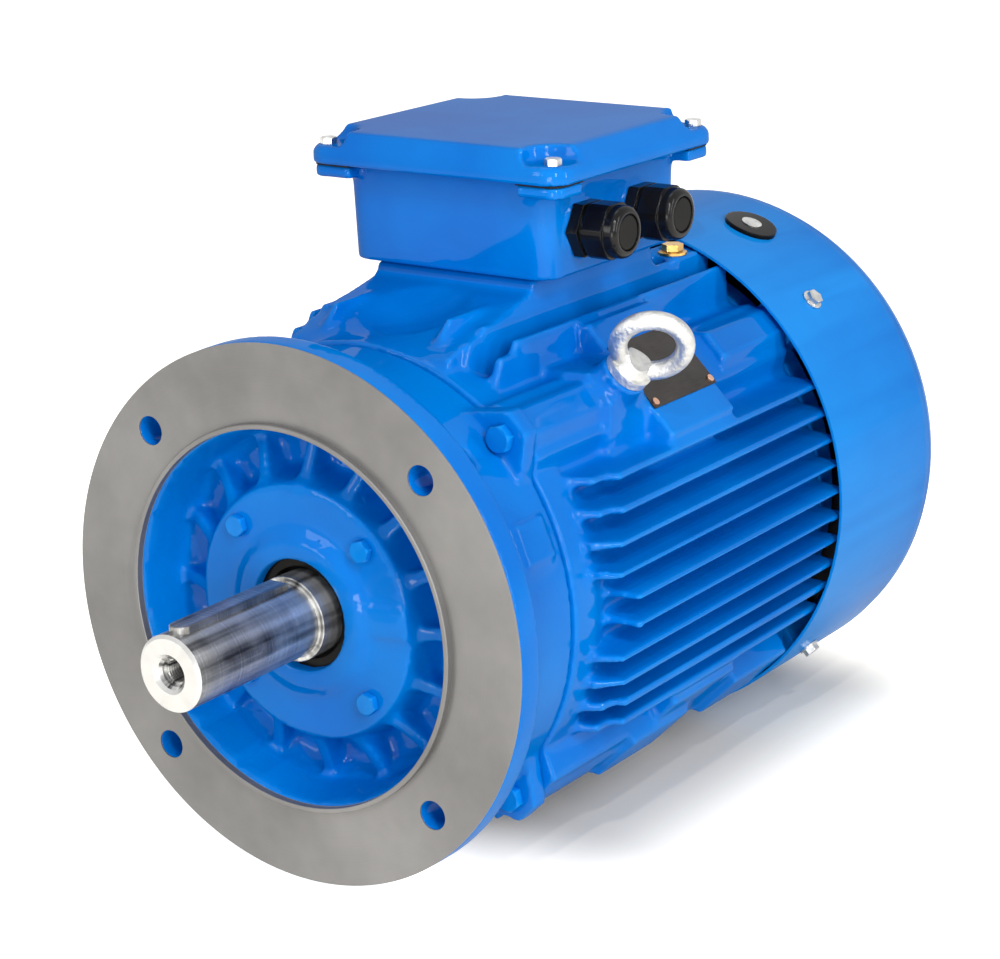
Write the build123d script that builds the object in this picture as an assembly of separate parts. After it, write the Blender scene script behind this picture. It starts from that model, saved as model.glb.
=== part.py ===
from build123d import *
import math
import os

os.makedirs("parts", exist_ok=True)

# Sizes in millimetres. X runs along the shaft towards its free end, Z is up.
# The origin is where the shaft axis meets the flange's mating face.

# Flange and shaft end, standard sizes of this frame
FLANGE_R = 175.0
SPIGOT_R = 125.0
SPIGOT_INNER_R = 122.0
SPIGOT_LEN = 5.0
FLANGE_T = 20.0
FLANGE_PCD_R = 150.0
FLANGE_HOLE_R = 9.25
SHAFT_R = 24.0
SHAFT_LEN = 110.0
KEY_W = 14.0
KEY_H = 9.0
KEY_SEAT_Z = 18.5
KEY_X0 = 8.0
KEY_X1 = 104.0
CENTRE_TAP_R = 7.0
CENTRE_TAP_DEPTH = 36.0
CENTRE_CONE_R = 12.5
CENTRE_BORE_R = 8.5
CENTRE_CONE_DEPTH = 4.0
CENTRE_BORE_DEPTH = 6.5

# Clearances
RUN = 0.05
FIT = 0.02
THREAD = 0.1
AIR_GAP = 0.6

# Corner directions that carry lugs, bolts and screws
CORNERS = (45.0, 135.0, 225.0, 315.0)
LUG_BOLT_R = 165.0
REAR_BOLT_R = 158.0

# Axial stations
FRAME_X0 = -82.0
FRAME_X1 = -392.0
FRAME_R = 150.0
BORE_R = 140.0
RIM_R = 158.0
NECK_R = 156.0
LUG_SEAT_X = -68.0
LUG_C = 180.0
LUG_HALF = 9.0
LUG_BASE_HALF = 37.0
RIDGE_C = 176.0
SPOTFACE_R = 10.5

# Fins
FIN_CREST_R = 178.0
FIN_STEP_DROP = 7.0
FIN_NOSE = 14.0
FIN_STEP_NOSE = 15.0
FIN_NOSE_LAND = 0.5
FIN_STEP_R = FIN_CREST_R - FIN_STEP_DROP
FIN_ROOT_R = 147.0
FIN_CREST_T = 3.4
FIN_ROOT_T = 7.6
FIN_PITCH = 18.0
FIN_REAR_X = -388.0
FIN_FRONTS = {0: (-122.0, -124.0), 1: (-100.0, -108.0), 2: (-100.0, -113.0)}
FIN_STEPPED = {3: (-101.0, -109.0, -124.0), 4: (-108.0, -115.0, -133.0)}

# Diagonal pads, their outer faces at the given distance from the shaft axis
PAD_ROOT_C = 143.0
PAD_BASE_C = 166.0
PLATE_C = 175.0
PLATE_PAD_X = (-276.0, -199.0)
PLATE_PAD_HALF = 46.0
REAR_PAD_X = (FIN_REAR_X, -304.0)
REAR_PAD_HALF = 10.0
BOSS_BLOCK_C = 181.0
BOSS_C = 191.0
BOSS_R = 16.0
BOSS_X = -177.0
BOSS_BLOCK_X = (-197.0, -157.0)
BOSS_HALF = 12.0
FOOT_C = 180.0
FOOT_RIDGE_C = 174.0
FOOT_HALF = 24.0
FOOT_X = ((-238.0, -171.0), (-371.0, -300.0))
NECK_PAD_X = (-71.0, -44.0)
NECK_PAD_HALF = 13.0
NECK_PAD_C = 159.0
NECK_PAD_ANGLE = 22.0

# Nameplate
PLATE_X = (-275.0, -200.0)
PLATE_HALF = 25.0
PLATE_T = 1.0
RIVET_R = 1.5
RIVET_INSET = 4.0

# Terminal box, stacked up from its seat above the fins
BOX_X = -251.0
SEAT_RISE = 6.5
BOX_Z0 = FIN_CREST_R + SEAT_RISE
BOX_GASKET_T = 1.5
BOX_FOOT_Z = BOX_Z0 + BOX_GASKET_T
BOX_HEIGHT = 64.0
BOX_Z1 = BOX_FOOT_Z + BOX_HEIGHT
BOX_HALF_X0 = 77.4
BOX_HALF_Y0 = 80.7
BOX_HALF_X1 = 79.1
BOX_HALF_Y1 = 82.0
BOX_CORNER_R = 16.0
BOX_WALL = 6.0
BOX_FLOOR_T = 5.0
BOX_FLOOR_Z = BOX_FOOT_Z + BOX_FLOOR_T
LID_GASKET_T = 1.2
LID_Z = BOX_Z1 + LID_GASKET_T
LID_HALF_X = 95.4
LID_HALF_Y = 101.3
LID_CORNER_R = 16.6
LID_BAND = 8.0
LID_HEIGHT = 21.6
LID_TOP_Z = LID_Z + LID_HEIGHT
LID_TOP_HALF_X = 88.6
LID_TOP_HALF_Y = 90.3
LID_SCREW_X = 83.0
LID_SCREW_Y = 89.0
LID_LEDGE_Z = LID_Z + 11.8
LID_LEDGE_R = 20.0
LID_ROOF_T = 5.0
LID_BOSS_H = 8.0
LID_BOSS_R = 9.0
PEDESTAL_HALF_Y = 63.0
PEDESTAL_X = (-321.0, -182.0)
LEAD_Z = 144.5
LEAD_HOLE_X = (-290.0, -212.0)
LEAD_HOLE_HALF = 30.0
EARTH_X = -357.0
EARTH_Y = 58.0
EARTH_PAD_Z = FIN_CREST_R - 9.5
EARTH_PAD_HALF = 11.0
BOX_SCREW_X = 56.0
BOX_SCREW_Y = 52.0
BOX_EARTH_Y = -58.0
BLOCK_SCREW_X = 42.0
STUD_PITCH = 22.0
STUD_Y = 14.0

# Glands
GLAND_X = (-207.0, -272.0)
GLAND_Z = BOX_Z0 + 32.0
GLAND_SEAT_Y = BOX_HALF_Y1 + 2.0
GLAND_R = 12.5
GLAND_AF = 34.0
GLAND_FLANGE_T = 8.0
GLAND_COLLAR_T = 3.0
GLAND_NUT_R = 18.8
GLAND_NUT_L = 15.0
GLAND_CAP_L = 9.0
GLAND_CAP_R = 17.0
GLAND_BORE_R = 9.0
GLAND_END_R = 12.0

# Bearings, 55 x 120 x 29
BRG_BORE_R = 27.5
BRG_R = 60.0
BRG_W = 29.0
BRG_PITCH_R = 43.75
BALL_R = 10.319
BALLS = 8
BRG_INNER_R = 36.8
BRG_OUTER_R = 51.2
FRONT_BRG_X = -36.0
REAR_BRG_X = -397.0
HUB_BOLT_R = 70.0
HUB_FACE_X = -14.0
RIBS = 16
RIB_T = 9.0

# Electrical core
CORE_X0 = -142.0
CORE_X1 = -332.0
STATOR_BORE_R = 91.0
SLOTS = 36
SLOT_W = 8.0
SLOT_R0 = 93.0
SLOT_R1 = 116.0
END_TURN_L = 42.0
END_TURN_R = 133.0
LEAD_R = 2.2
STUD_FOOT_Z = BOX_FLOOR_Z + 2.0
BLOCK_Z0 = BOX_FLOOR_Z + 5.5
BLOCK_T = 10.0
BLOCK_TOP_Z = BLOCK_Z0 + BLOCK_T
LINK_T = 1.2
SHAFT_CORE_R = 35.0
ROTOR_BARS = 28
ROTOR_BAR_R = 4.0
ROTOR_BAR_PCD_R = 79.0

# Rear end
REAR_SHIELD_X1 = -440.0
COWL_T = 2.0
COWL_CLEARANCE = 2.5
COWL_R = FIN_CREST_R + COWL_CLEARANCE + COWL_T
COWL_X0 = -375.0
COWL_BEND_X = -503.0
COWL_X1 = -538.0
COWL_BEND_R = 35.0
COWL_SCREW_X = -426.0
FAN_X = -452.0
FAN_SEAT_R = 22.0
FAN_HUB_L = 32.0
FAN_R = 158.0
SHAFT_REAR_X = -494.0
PLUG_X = -453.0
PLUG_ANGLE = 69.4

# Eyebolt, M12 pattern
EYE_R = 21.0
EYE_TUBE_R = 6.0
EYE_SEAT_C = BOSS_C
EYE_CENTRE_C = EYE_SEAT_C + 27.0
EYE_TURN = -48.0
EYE_COLLAR_R = 15.0
EYE_COLLAR_T = 6.0
EYE_SHANK_R = 6.0
EYE_SHANK_L = 20.0


def turned(points):
    """Solid of revolution about the shaft axis from (x, r) points."""
    return revolve(make_face(Polyline(*points, close=True)), Axis.X, 360)


def tube(x0, x1, outer, inner=0.0):
    """Ring about the shaft axis between two stations."""
    low, high = min(x0, x1), max(x0, x1)
    if inner:
        return turned([(low, inner), (high, inner), (high, outer), (low, outer)])
    return turned([(low, 0), (high, 0), (high, outer), (low, outer)])


def prism(points, x0, x1):
    """Bar along X whose (y, z) outline is given."""
    face = make_face(Polyline(*points, close=True))
    return Pos(min(x0, x1), 0, 0) * extrude(Plane.YZ * face, amount=abs(x1 - x0))


def block(x, y, z):
    """Box between pairs of limits."""
    centre = [(a[0] + a[1]) / 2 for a in (x, y, z)]
    return Pos(*centre) * Box(*[abs(a[1] - a[0]) for a in (x, y, z)])


def facing_front(x, r, angle):
    """Place on the (x, r, angle) point whose Z looks along +X."""
    return Rot(angle, 0, 0) * Pos(x, r, 0) * Rot(0, 90, 0)


def facing_rear(x, r, angle):
    """Place on the (x, r, angle) point whose Z looks along -X."""
    return Rot(angle, 0, 0) * Pos(x, r, 0) * Rot(0, -90, 0)


def facing_out(x, r, angle):
    """Place on the (x, r, angle) point whose Z looks radially outwards."""
    return Rot(angle, 0, 0) * Pos(x, r, 0) * Rot(-90, 0, 0)


def peg(radius, z0, z1):
    """Cylinder along local Z."""
    return Pos(0, 0, (z0 + z1) / 2) * Cylinder(radius, abs(z1 - z0))


def hexagon(across_flats, z0, z1):
    """Hexagonal bar along local Z."""
    face = RegularPolygon(across_flats / 2, 6, major_radius=False)
    return Pos(0, 0, z0) * extrude(face, amount=z1 - z0)


def hex_bolt(radius, length, across_flats, head):
    """Bolt seated on local z = 0, with its head above."""
    cap = hexagon(across_flats, 0, head)
    crown = Pos(0, 0, head / 2) * Cylinder(across_flats * 0.56, head)
    crown = chamfer(crown.edges().group_by(Axis.Z)[-1], across_flats * 0.07)
    return (cap & crown) + peg(radius, -length, 0)


def washer_screw(radius, length, head_r, head, washer_r, washer_t):
    """Hexagon screw with a washer under its head, seated on local z = 0."""
    body = peg(washer_r, 0, washer_t) + hexagon(head_r * 1.73, washer_t, washer_t + head)
    return body + peg(radius, -length, 0)


def export(name, shapes):
    """Write one node; a list is written as separate solids."""
    if isinstance(shapes, list):
        solids = [s for shape in shapes for s in shape.solids()]
    else:
        solids = list(shapes.solids())
    shape = solids[0] if len(solids) == 1 else Compound(children=solids)
    shape.label = name
    export_step(shape, f"parts/{name}.step")
    print(name, len(solids), round(sum(s.volume for s in solids) / 1000, 1))


def fin_profile(level, position):
    """Side outline of one fin in (x, y)."""
    reach = math.sqrt(FIN_CREST_R ** 2 - position ** 2)
    root = math.sqrt(FIN_ROOT_R ** 2 - (abs(position) + FIN_ROOT_T / 2) ** 2)
    if level in FIN_FRONTS:
        foot, knee = FIN_FRONTS[level]
        nose = min(FIN_NOSE, reach - root - FIN_NOSE_LAND)
        front = [(knee, reach), (foot, reach - nose), (foot, root)]
    else:
        foot, ledge, knee = FIN_STEPPED[level]
        step = math.sqrt(FIN_STEP_R ** 2 - position ** 2)
        nose = min(FIN_STEP_NOSE, step - root - FIN_NOSE_LAND)
        front = [(knee, reach), (knee + 4.0, step), (ledge, step), (foot, step - nose), (foot, root)]
    return [(FIN_REAR_X, root), (FIN_REAR_X, reach)] + front


def fin(level, position):
    """One horizontal fin on the +Y side, drafted from root to crest."""
    profile = make_face(Polyline(*fin_profile(level, position), close=True))
    plate = Pos(0, 0, position) * extrude(profile, amount=FIN_ROOT_T / 2, both=True)
    root = math.sqrt(FIN_ROOT_R ** 2 - (abs(position) + FIN_ROOT_T / 2) ** 2)
    base, tip = FIN_ROOT_T / 2, FIN_CREST_T / 2
    taper = prism([(root - 1, position - base), (root - 1, position + base),
                   (FIN_CREST_R, position + tip), (FIN_CREST_R, position - tip)], FIN_REAR_X - 1, -90)
    return plate & taper


def fin_bank(levels):
    """Fins on the +Y side for the given levels either side of the middle."""
    solids = []
    for level in levels:
        position = FIN_PITCH * (level + 0.5)
        solids += [fin(level, position), fin(level, -position)]
    return solids


def wedge(top, half, base_half, x):
    """Pad on the +Y diagonal line with leaning sides, from the barrel out to the given distance."""
    outline = [(PAD_ROOT_C, -base_half), (PAD_ROOT_C, base_half), (top, half), (top, -half)]
    return prism(outline, *x)


def diagonal_pads():
    """Raised pads and ridges on the diagonals, in place about the shaft axis."""
    pads = []
    boss_x = BOSS_BLOCK_X
    for angle in CORNERS:
        turn = Rot(angle, 0, 0)
        pads.append(turn * wedge(PAD_BASE_C, 21, 33, (FRAME_X1 + 2, FRAME_X0)))
        pads.append(turn * wedge(RIDGE_C, LUG_HALF, LUG_BASE_HALF - 3, (boss_x[0], FRAME_X0)))
        pads.append(turn * wedge(PLATE_C, PLATE_PAD_HALF, PLATE_PAD_HALF + 2, PLATE_PAD_X))
        pads.append(turn * wedge(PLATE_C, REAR_PAD_HALF, LUG_BASE_HALF, REAR_PAD_X))
    for angle in (45.0, 225.0):
        pads.append(Rot(angle, 0, 0) * wedge(BOSS_BLOCK_C, BOSS_HALF, PLATE_PAD_HALF, boss_x))
        pads.append(facing_out(BOSS_X, PAD_BASE_C, angle) * peg(BOSS_R, 0, BOSS_C - PAD_BASE_C))
    for angle in (225.0, 315.0):
        turn = Rot(angle, 0, 0)
        pads.append(turn * wedge(FOOT_RIDGE_C, FOOT_HALF, LUG_BASE_HALF, (FOOT_X[1][1], FRAME_X0)))
        for x in FOOT_X:
            pads.append(turn * wedge(FOOT_C, FOOT_HALF - 2, FOOT_HALF + 4, x))
    return pads


def pedestal():
    """Raised seat of the terminal box with its hollowed nose."""
    x0, x1 = PEDESTAL_X
    half = PEDESTAL_HALF_Y
    nose = FRAME_X0 - 6
    outline = [(x0 - 14, 120), (x0, BOX_Z0), (x1, BOX_Z0), (x1 + 4, BOX_Z0 - 8), (x1 + 60, 164), (nose, 153),
               (nose, 120)]
    body = extrude(Plane.XZ * make_face(Polyline(*outline, close=True)), amount=half, both=True)
    bowl = Pos(x1 + 58, 0, BOX_Z0 + 46) * Sphere(74)
    return body - bowl


def frame_housing():
    """Finned frame casting."""
    shoulder = FRAME_X0 - 22
    body = tube(FRAME_X0, FRAME_X1, FRAME_R)
    body += turned([(FRAME_X0, BORE_R), (FRAME_X0, RIM_R), (shoulder, RIM_R), (shoulder - 22, FRAME_R),
                    (shoulder - 22, BORE_R)])
    body += tube(FRAME_X1 + 14, FRAME_X1, RIM_R - 4)
    sides = fin_bank(range(5))
    for turn in (0, 180, 270):
        body += [Rot(turn, 0, 0) * f for f in sides]
    body += [Rot(90, 0, 0) * f for f in fin_bank((2, 3, 4))]
    body += diagonal_pads()
    body += pedestal()
    body += block((FIN_REAR_X, EARTH_X + EARTH_PAD_HALF), (EARTH_Y - EARTH_PAD_HALF, EARTH_Y + EARTH_PAD_HALF),
                  (PAD_ROOT_C, EARTH_PAD_Z))
    body -= tube(FRAME_X0 + 1, FRAME_X1 - 1, BORE_R)
    body -= tube(COWL_X0 + 2, FRAME_X1 - 1, LUG_C + PLATE_PAD_HALF, FIN_CREST_R)
    hole = LEAD_HOLE_HALF
    body -= block(LEAD_HOLE_X, (-hole, hole), (120, BOX_Z0 + 1))
    body -= block((LEAD_HOLE_X[1], -104), (6 - hole, hole - 6), (130, LEAD_Z + LEAD_R + 1.3))
    for angle in CORNERS:
        body -= facing_front(FRAME_X0, LUG_BOLT_R, angle) * peg(5.0, -26, 1)
        body -= facing_rear(FRAME_X1, REAR_BOLT_R, angle) * peg(5.0, -26, 1)
    body -= facing_out(BOSS_X, BOSS_C, 45) * peg(EYE_SHANK_R, -EYE_SHANK_L - 2, 1)
    for x, t in plate_corners():
        body -= Rot(45, 0, 0) * Pos(x, PLATE_C, t) * Rot(-90, 0, 0) * peg(RIVET_R, -5, 1)
    for x, y in box_screw_places():
        body -= Pos(x, y, BOX_Z0) * peg(3.0, -16, 1)
    body -= Pos(EARTH_X, EARTH_Y, EARTH_PAD_Z) * peg(4.0, -16, 1)
    return body


def plate_corners():
    """Rivet places on the nameplate, as (x, t)."""
    edge = PLATE_HALF - RIVET_INSET
    ends = (PLATE_X[1] - RIVET_INSET, PLATE_X[0] + RIVET_INSET)
    return [(x, t) for x in ends for t in (-edge, edge)]


def box_screw_places():
    """Screws that hold the terminal box to the pedestal."""
    return [(BOX_X + sx * BOX_SCREW_X, sy * BOX_SCREW_Y) for sx in (-1, 1) for sy in (-1, 1)]


def flange_endshield():
    """Drive-end flange casting with its ribbed dish."""
    outline = [
        (SPIGOT_LEN, SPIGOT_R), (SPIGOT_LEN, SPIGOT_INNER_R), (-3, 121), (-10, 119), (-34, 115),
        (-42, 107), (-42, 90), (-20, 84.5), (HUB_FACE_X, 82), (HUB_FACE_X, 56), (-8, 47), (-8, 36), (-25, 36),
        (-25, 30), (-30, 30), (-30, 52), (FRONT_BRG_X, 52), (FRONT_BRG_X, BRG_R), (-66, BRG_R), (-66, 82),
        (-54, 86), (-54, 108), (-62, 130), (-90, 132), (-90, BORE_R - FIT), (FRAME_X0, BORE_R - FIT),
        (FRAME_X0, NECK_R), (-34, NECK_R), (-26, 159), (-FLANGE_T, 166), (-FLANGE_T, FLANGE_R - 1),
        (1 - FLANGE_T, FLANGE_R), (-1, FLANGE_R), (0, FLANGE_R - 1), (0, SPIGOT_R),
    ]
    body = turned(outline)
    rib = make_face(Polyline((-43, 83), (-18, 82), (-25, 96), (-31, 112), (-32, 117), (-43, 117), close=True))
    for k in range(RIBS):
        body += Rot(360 / RIBS * k, 0, 0) * extrude(rib, amount=RIB_T / 2, both=True)
    for angle in CORNERS:
        lug = wedge(LUG_C, LUG_HALF, LUG_BASE_HALF, (FRAME_X0, LUG_SEAT_X))
        body += Rot(angle, 0, 0) * (lug - tube(FRAME_X0 + 1, LUG_SEAT_X - 15, BORE_R))
    body += Rot(5, 0, 0) * block((-16, -11.5), (52, 82), (-9, 9))
    pad = block(NECK_PAD_X, (FRAME_R, NECK_PAD_C), (-NECK_PAD_HALF, NECK_PAD_HALF))
    body += Rot(NECK_PAD_ANGLE, 0, 0) * pad
    for angle in CORNERS:
        body -= facing_front(0, FLANGE_PCD_R, angle) * peg(FLANGE_HOLE_R, -45, 1)
        body -= facing_front(LUG_SEAT_X, LUG_BOLT_R, angle) * peg(5.4, -20, 1)
        body -= facing_front(LUG_SEAT_X, LUG_BOLT_R, angle) * peg(SPOTFACE_R, 0, 30)
        body -= facing_front(HUB_FACE_X, HUB_BOLT_R, angle) * peg(4.4, -60, 1)
    return body


def rear_endshield():
    """Rear endshield casting inside the cowl."""
    x0, x1 = FRAME_X1, REAR_SHIELD_X1
    seat = REAR_BRG_X
    outline = [
        (x0 + 8, BORE_R - FIT), (x0 + 8, 131), (x0 - 6, 129), (x0 - 12, 84), (seat, 82), (seat, BRG_R),
        (seat - BRG_W - 3, BRG_R), (seat - BRG_W - 3, 52), (seat - BRG_W - 6, 52), (seat - BRG_W - 6, 36),
        (x1, 36), (x1, 60), (x1 + 8, 84), (x0 - 24, 90), (x0 - 18, 140), (x0 - 18, NECK_R), (x0, NECK_R),
        (x0, BORE_R - FIT),
    ]
    body = turned(outline)
    inner = COWL_R - COWL_T
    lug = [(135, -20), (135, 20), (inner + 4, 15), (inner + 4, -15)]
    pad = prism(lug, COWL_SCREW_X - 9, x0) & tube(COWL_SCREW_X - 9, x0, inner)
    pocket = block((COWL_SCREW_X - 10, x0 - 18), (146, 169), (-10, 10))
    for angle in CORNERS:
        body += Rot(angle, 0, 0) * (pad - pocket)
    for angle in CORNERS:
        body -= facing_rear(x0 - 18, REAR_BOLT_R, angle) * peg(5.4, -20, 1)
        body -= facing_out(COWL_SCREW_X, inner, angle) * peg(3.0, -11, 1)
        body -= facing_rear(x1 + 8, HUB_BOLT_R, angle) * peg(4.4, -60, 20)
        body -= facing_rear(x1 + 8, HUB_BOLT_R, angle) * peg(8.5, 0, 20)
    return body


def bearing_cap(seat, away):
    """Inner bearing cap; away is the direction from the bearing to the core."""
    s = away
    points = [(seat, BRG_R - FIT), (seat, 53), (seat + 4 * s, 50), (seat + 4 * s, 36), (seat + 8 * s, 33.8),
              (seat + 14 * s, 33.8), (seat + 14 * s, 60), (seat + 12 * s, 80), (seat + 1 * s, 80),
              (seat + 1 * s, BRG_R - FIT)]
    return turned(points)


def front_bearing_cap():
    """Cap behind the front bearing, bolted from the dish."""
    body = bearing_cap(FRONT_BRG_X - BRG_W, -1)
    for angle in CORNERS:
        body -= facing_front(-65, HUB_BOLT_R, angle) * peg(4.0, -14, 1)
    return body


def rear_bearing_cap():
    """Cap before the rear bearing, bolted from behind."""
    body = bearing_cap(REAR_BRG_X, 1) + tube(REAR_BRG_X, REAR_BRG_X + 2, 80, BRG_R - 7)
    for angle in CORNERS:
        body -= facing_rear(REAR_BRG_X, HUB_BOLT_R, angle) * peg(4.0, -14, 1)
    return body


def bolts(places, radius, length, across_flats, head):
    """Equal hexagon bolts at the given places."""
    return [place * hex_bolt(radius, length, across_flats, head) for place in places]


def stator_core():
    """Slotted lamination stack."""
    body = tube(CORE_X0, CORE_X1, BORE_R - FIT, STATOR_BORE_R)
    opening = block((CORE_X1 - 1, CORE_X0 + 1), (88, SLOT_R0 + 1), (-1.5, 1.5))
    slot = block((CORE_X1 - 1, CORE_X0 + 1), (SLOT_R0, SLOT_R1), (-SLOT_W / 2, SLOT_W / 2)) + opening
    slots = [Rot(360 / SLOTS * k, 0, 0) * slot for k in range(SLOTS)]
    return body - slots


def stator_windings():
    """Slot conductors joined by the end turns."""
    low = 97.0
    high = END_TURN_R
    body = None
    for x0, s in ((CORE_X0, 1), (CORE_X1, -1)):
        ring = [(x0 + 4 * s, low), (x0 + (END_TURN_L - 8) * s, low + 4), (x0 + END_TURN_L * s, low + 14),
                (x0 + (END_TURN_L - 3) * s, high - 6), (x0 + (END_TURN_L - 12) * s, high),
                (x0 + 14 * s, high - 8), (x0 + 4 * s, SLOT_R1 - 1)]
        body = turned(ring) if body is None else body + turned(ring)
    half = SLOT_W / 2 - 0.3
    bar = block((CORE_X1 - 6, CORE_X0 + 6), (SLOT_R0 + 3, SLOT_R1 - 0.5), (-half, half))
    body += [Rot(360 / SLOTS * k, 0, 0) * bar for k in range(SLOTS)]
    return body


def pipe(points, radius):
    """Round lead through the given points."""
    body = Pos(*points[0]) * Sphere(radius)
    for a, b in zip(points, points[1:]):
        span = Vector(*b) - Vector(*a)
        place = Plane(origin=a, z_dir=span)
        body += place * (Pos(0, 0, span.length / 2) * Cylinder(radius, span.length))
        body += Pos(*b) * Sphere(radius)
    return body


def winding_leads():
    """Six leads from the end turns to the terminal studs."""
    leads = []
    for k, (x, row) in enumerate(stud_places()):
        side = math.copysign(1.0, row)
        y = side * (17.0 - 6.0 * (k % 3))
        start = math.sqrt((END_TURN_R + LEAD_R) ** 2 - y ** 2)
        leads.append(pipe([(-112, y, start), (-112, y, LEAD_Z), (x, y, LEAD_Z), (x, row, BOX_Z0 - 8),
                           (x, row, STUD_FOOT_Z - LEAD_R)], LEAD_R))
    return leads


def stud_places():
    """Six terminal studs in two rows of three, as (x, y)."""
    return [(BOX_X + STUD_PITCH * (k % 3 - 1), -STUD_Y if k < 3 else STUD_Y) for k in range(6)]


def rotor_core():
    """Rotor lamination stack."""
    body = tube(CORE_X0, CORE_X1, STATOR_BORE_R - AIR_GAP, SHAFT_CORE_R + FIT)
    holes = [facing_front(CORE_X0, ROTOR_BAR_PCD_R, 360 / ROTOR_BARS * k) * peg(ROTOR_BAR_R, -200, 1)
             for k in range(ROTOR_BARS)]
    return body - holes


def rotor_cage():
    """Cast bars, end rings and stirring vanes."""
    body = tube(CORE_X0, CORE_X0 + 14, 88, 62) + tube(CORE_X1, CORE_X1 - 14, 88, 62)
    body += [facing_front(CORE_X0 + 1, ROTOR_BAR_PCD_R, 360 / ROTOR_BARS * k) * peg(ROTOR_BAR_R - FIT, -192, 0)
             for k in range(ROTOR_BARS)]
    for k in range(8):
        turn = Rot(45 * k, 0, 0)
        body += turn * block((CORE_X0 + 13, CORE_X0 + 26), (66, 86), (-2, 2))
        body += turn * block((CORE_X1 - 26, CORE_X1 - 13), (66, 86), (-2, 2))
    return body


def shaft():
    """Stepped shaft with its keyways, centre tap and circlip groove."""
    rear = REAR_BRG_X - BRG_W
    body = turned([
        (SHAFT_LEN, 0), (SHAFT_LEN, SHAFT_R - 2), (SHAFT_LEN - 2, SHAFT_R), (1, SHAFT_R), (0, SHAFT_R + 1),
        (0, BRG_BORE_R - 0.6), (-0.5, BRG_BORE_R - RUN), (FRONT_BRG_X, BRG_BORE_R - RUN),
        (FRONT_BRG_X, BRG_BORE_R), (FRONT_BRG_X - BRG_W, BRG_BORE_R), (FRONT_BRG_X - BRG_W, 33), (-90, 33),
        (-90, SHAFT_CORE_R), (-380, SHAFT_CORE_R), (-380, 33), (REAR_BRG_X, 33), (REAR_BRG_X, BRG_BORE_R),
        (rear, BRG_BORE_R), (rear, 25), (-446, 25), (-446, FAN_SEAT_R), (-484, FAN_SEAT_R), (-484, 20.5),
        (-486, 20.5), (-486, FAN_SEAT_R), (SHAFT_REAR_X + 1, FAN_SEAT_R), (SHAFT_REAR_X, FAN_SEAT_R - 1),
        (SHAFT_REAR_X, 0),
    ])
    half = KEY_W / 2
    slot = block((KEY_X0, KEY_X1 - half), (-half, half), (KEY_SEAT_Z, 30))
    body -= slot + Pos(KEY_X1 - half, 0, 0) * peg(half, KEY_SEAT_Z, 30)
    body -= block((-480, -456), (-4, 4), (18, 30))
    body -= facing_front(SHAFT_LEN, 0, 0) * peg(CENTRE_TAP_R, -CENTRE_TAP_DEPTH, 1)
    cone, bore = SHAFT_LEN - CENTRE_CONE_DEPTH, SHAFT_LEN - CENTRE_BORE_DEPTH
    body -= turned([(SHAFT_LEN + 1, 0), (SHAFT_LEN + 1, CENTRE_CONE_R + 1), (cone, CENTRE_BORE_R),
                    (bore, CENTRE_BORE_R), (bore, 0)])
    return body


def shaft_key():
    """Parallel key with a rounded front end."""
    half = KEY_W / 2
    top = KEY_SEAT_Z + KEY_H
    body = block((KEY_X0, KEY_X1 - half), (-half, half), (KEY_SEAT_Z, top))
    body += Pos(KEY_X1 - half, 0, 0) * peg(half, KEY_SEAT_Z, top)
    return chamfer(body.edges().group_by(Axis.Z)[-1], 0.6)


def race(x0, radii, groove_r):
    """Bearing ring with its ball groove."""
    low, high = radii
    middle = x0 - BRG_W / 2
    ring = turned([(x0 - BRG_W, low + 1), (x0 - BRG_W + 1, low), (x0 - 1, low), (x0, low + 1), (x0, high - 1),
                   (x0 - 1, high), (x0 - BRG_W + 1, high), (x0 - BRG_W, high - 1)])
    circle = make_face(Pos(middle, BRG_PITCH_R) * CenterArc((0, 0), groove_r, 0, 360).edge())
    return ring - revolve(circle, Axis.X, 360)


def balls(x0):
    """Ball set of one bearing."""
    middle = x0 - BRG_W / 2
    return [Rot(360 / BALLS * k, 0, 0) * Pos(middle, BRG_PITCH_R, 0) * Sphere(BALL_R) for k in range(BALLS)]


def ball_cage(x0):
    """Cage with one pocket per ball."""
    middle = x0 - BRG_W / 2
    body = tube(middle - 12.2, middle + 12.2, 46.2, 41.4)
    pockets = [Rot(360 / BALLS * k, 0, 0) * Pos(middle, BRG_PITCH_R, 0) * Sphere(BALL_R + 0.02)
               for k in range(BALLS)]
    return body - pockets


def shaft_seal(x0, x1, inner):
    """Radial lip seal, pressed into its housing at x0."""
    s = 1 if x1 > x0 else -1
    return turned([(x0, inner + 3), (x0 + 4 * s, inner + 1), (x0 + 6 * s, inner), (x0 + 7.5 * s, inner + 1.5),
                   (x1, inner + 2.5), (x1, 36 - FIT), (x0, 36 - FIT)])


def fan():
    """External fan with radial blades."""
    x1 = FAN_X - FAN_HUB_L
    body = tube(FAN_X, x1, 36, FAN_SEAT_R + FIT)
    body += turned([(FAN_X, 34), (FAN_X - 4, 34), (FAN_X - 10, 90), (FAN_X - 5, FAN_R), (FAN_X - 1, FAN_R),
                    (FAN_X - 6, 90)])
    for k in range(8):
        body += Rot(45 * k, 0, 0) * block((x1, FAN_X - 4), (33, FAN_R - 4), (-1.6, 1.6))
    body -= tube(FAN_X + 1, x1 - 1, FAN_SEAT_R + FIT)
    body -= turned([(x1 - 1, 36.5), (x1 - 1, 80), (x1 + 6, 60), (x1 + 6, 44)])
    return body - block((FAN_X + 1, x1 - 1), (-4, 4), (18, 25.5))


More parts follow.
